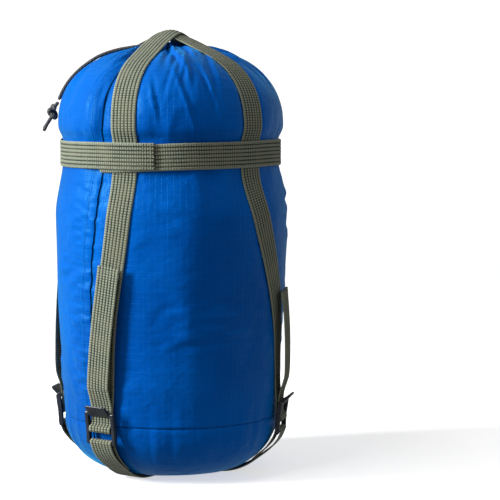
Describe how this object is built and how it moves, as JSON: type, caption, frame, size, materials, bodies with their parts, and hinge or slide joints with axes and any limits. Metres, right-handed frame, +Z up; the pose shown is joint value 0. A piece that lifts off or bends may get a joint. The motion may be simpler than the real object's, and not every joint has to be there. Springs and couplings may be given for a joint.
{
  "type": "compression sack",
  "caption": "Round cloth compression sack with a domed drawstring top, webbing straps crossed over and under it, a shoulder band and ladder buckles.",
  "frame": {"origin": "centre of the base, on the underside of the base straps, on the sack's axis", "axes": "+Z up through the gathered mouth, -Y the front with the lap of the band, +X to the right"},
  "size_m": [0.2157, 0.197, 0.38],
  "materials": {
    "cloth": "bright blue ripstop nylon, light sheen",
    "webbing": "grey olive ribbed webbing",
    "buckle": "black acetal, fine satin",
    "cord": "black braided cord"
  },
  "bodies": {
    "base": {"base_panel": "cloth", "side_fabric": "cloth", "side_strap_front_left": "webbing", "side_strap_front_right": "webbing", "side_strap_back_right": "webbing", "side_strap_back_left": "webbing", "base_strap_lower": "webbing", "base_strap_upper": "webbing"},
    "top": {"top_fabric": "cloth", "mouth_casing": "cloth", "girth_band": "webbing", "top_strap_upper": "webbing", "top_strap_lower": "webbing", "drawcord_ring": "cord", "drawcord_strand_front": "cord", "drawcord_strand_back": "cord", "drawcord_knot": "cord", "drawcord_end_front": "cord", "drawcord_end_back": "cord"},
    "buckle_front_left": {"ladder_buckle_front_left": "buckle", "strap_wrap_front_left": "webbing"},
    "tail_front_left": {"strap_tail_front_left": "webbing"},
    "buckle_front_right": {"ladder_buckle_front_right": "buckle", "strap_wrap_front_right": "webbing"},
    "tail_front_right": {"strap_tail_front_right": "webbing"},
    "buckle_back_right": {"ladder_buckle_back_right": "buckle", "strap_wrap_back_right": "webbing"},
    "tail_back_right": {"strap_tail_back_right": "webbing"},
    "buckle_back_left": {"ladder_buckle_back_left": "buckle", "strap_wrap_back_left": "webbing"},
    "tail_back_left": {"strap_tail_back_left": "webbing"}
  },
  "joints": [
    {"name": "compress", "type": "slide", "parent": "base", "child": "top", "axis": [0, 0, -1], "range_m": [0, 0.11], "deforming": ["side_fabric", "side_strap_front_left", "side_strap_front_right", "side_strap_back_right", "side_strap_back_left"]},
    {"name": "buckle_tilt_front_left", "type": "hinge", "parent": "base", "child": "buckle_front_left", "pos_m": [-0.05808, -0.07707, 0.037], "axis": [0.7986, -0.6018, 0], "range_deg": [0, 30]},
    {"name": "tail_slide_front_left", "type": "slide", "parent": "buckle_front_left", "child": "tail_front_left", "axis": [0.0973, -0.0733, 0.9925], "range_m": [0, 0.11]},
    {"name": "buckle_tilt_front_right", "type": "hinge", "parent": "base", "child": "buckle_front_right", "pos_m": [0.09321, -0.02498, 0.037], "axis": [0.2588, 0.9659, 0], "range_deg": [0, 30]},
    {"name": "tail_slide_front_right", "type": "slide", "parent": "buckle_front_right", "child": "tail_front_right", "axis": [-0.0315, -0.1177, 0.9925], "range_m": [0, 0.11]},
    {"name": "buckle_tilt_back_right", "type": "hinge", "parent": "base", "child": "buckle_back_right", "pos_m": [0.05808, 0.07707, 0.037], "axis": [-0.7986, 0.6018, 0], "range_deg": [0, 30]},
    {"name": "tail_slide_back_right", "type": "slide", "parent": "buckle_back_right", "child": "tail_back_right", "axis": [-0.0973, 0.0733, 0.9925], "range_m": [0, 0.11]},
    {"name": "buckle_tilt_back_left", "type": "hinge", "parent": "base", "child": "buckle_back_left", "pos_m": [-0.09321, 0.02498, 0.037], "axis": [-0.2588, -0.9659, 0], "range_deg": [0, 30]},
    {"name": "tail_slide_back_left", "type": "slide", "parent": "buckle_back_left", "child": "tail_back_left", "axis": [0.0315, 0.1177, 0.9925], "range_m": [0, 0.11]}
  ],
  "couplings": [
    {"joint": "tail_slide_front_left", "follows": "compress", "ratio": 1},
    {"joint": "tail_slide_front_right", "follows": "compress", "ratio": 1},
    {"joint": "tail_slide_back_right", "follows": "compress", "ratio": 1},
    {"joint": "tail_slide_back_left", "follows": "compress", "ratio": 1}
  ]
}
